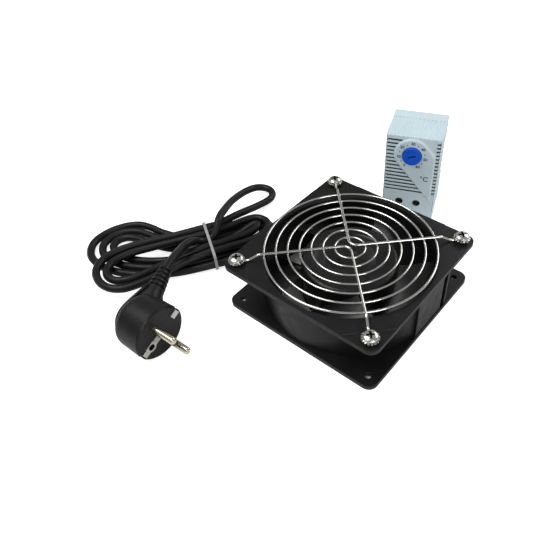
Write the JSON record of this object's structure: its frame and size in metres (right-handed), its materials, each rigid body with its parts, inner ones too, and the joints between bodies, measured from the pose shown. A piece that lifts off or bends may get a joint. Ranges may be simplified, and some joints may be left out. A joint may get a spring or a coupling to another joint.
{
  "type": "rack cooling fan",
  "caption": "Square axial cabinet fan with a wire finger guard, bundled mains lead with a right-angle earthed plug, and a separate rail-mounted thermostat",
  "frame": {"origin": "centre of the fan's lower mounting face, between its four mounting holes", "axes": "+Z is the fan's axis and points to the guarded inlet side; +X and +Y run along the sides of the square flanges; the lead leaves on the -X side and the thermostat stands on the +Y side"},
  "size_m": [0.25, 0.2665, 0.072],
  "materials": {
    "housing": "satin",
    "impeller": "satin",
    "chrome_wire": "polished",
    "zinc": "satin",
    "lamination": "satin",
    "rotor_steel": "satin",
    "bronze": "satin",
    "winding": "satin",
    "lead_sheath": "satin",
    "plug_moulding": "satin",
    "tie": "satin",
    "pin_metal": "satin",
    "cover": "satin",
    "dial": "satin",
    "switch": "satin",
    "latch": "satin",
    "block": "satin"
  },
  "bodies": {
    "set": {"inlet_flange": "housing", "outlet_flange": "housing", "duct": "housing", "motor_frame": "housing", "terminal_blades": "zinc", "stator_core": "lamination", "windings": "winding", "bearings": "bronze", "guard_rings": "chrome_wire", "guard_wire_back": "chrome_wire", "guard_wire_front": "chrome_wire", "guard_screws": "zinc", "toothed_washers": "zinc", "guard_nuts": "zinc", "fan_connector": "plug_moulding", "cord_lead": "lead_sheath", "cord_hank": "lead_sheath", "cord_tail": "lead_sheath", "cable_tie": "tie", "strain_relief": "plug_moulding", "plug_body": "plug_moulding", "plug_pins": "pin_metal", "earth_clips": "pin_metal", "th_cover": "cover", "th_base": "cover", "th_switch": "switch", "th_bimetal": "bronze", "th_terminal_block": "block", "th_terminal_screws": "zinc"},
    "rotor": {"impeller": "impeller", "rotor_cup": "rotor_steel", "rotor_core": "lamination", "shaft": "zinc", "shaft_clip": "zinc"},
    "dial": {"th_dial": "dial", "th_cam": "block"},
    "latch": {"th_rail_latch": "latch"}
  },
  "joints": [
    {"name": "rotor_spin", "type": "hinge", "parent": "set", "child": "rotor", "pos_m": [0, 0, 0.02], "axis": [0, 0, 1], "continuous": true},
    {"name": "dial_turn", "type": "hinge", "parent": "set", "child": "dial", "pos_m": [-0.01144, 0.09061, 0.0575], "axis": [0.3746, -0.9272, 0], "range_deg": [-84, 216]},
    {"name": "latch_slide", "type": "slide", "parent": "set", "child": "latch", "axis": [0, 0, -1], "range_m": [0, 0.0035], "stiffness_N_per_m": 400, "springref_m": -0.002}
  ]
}
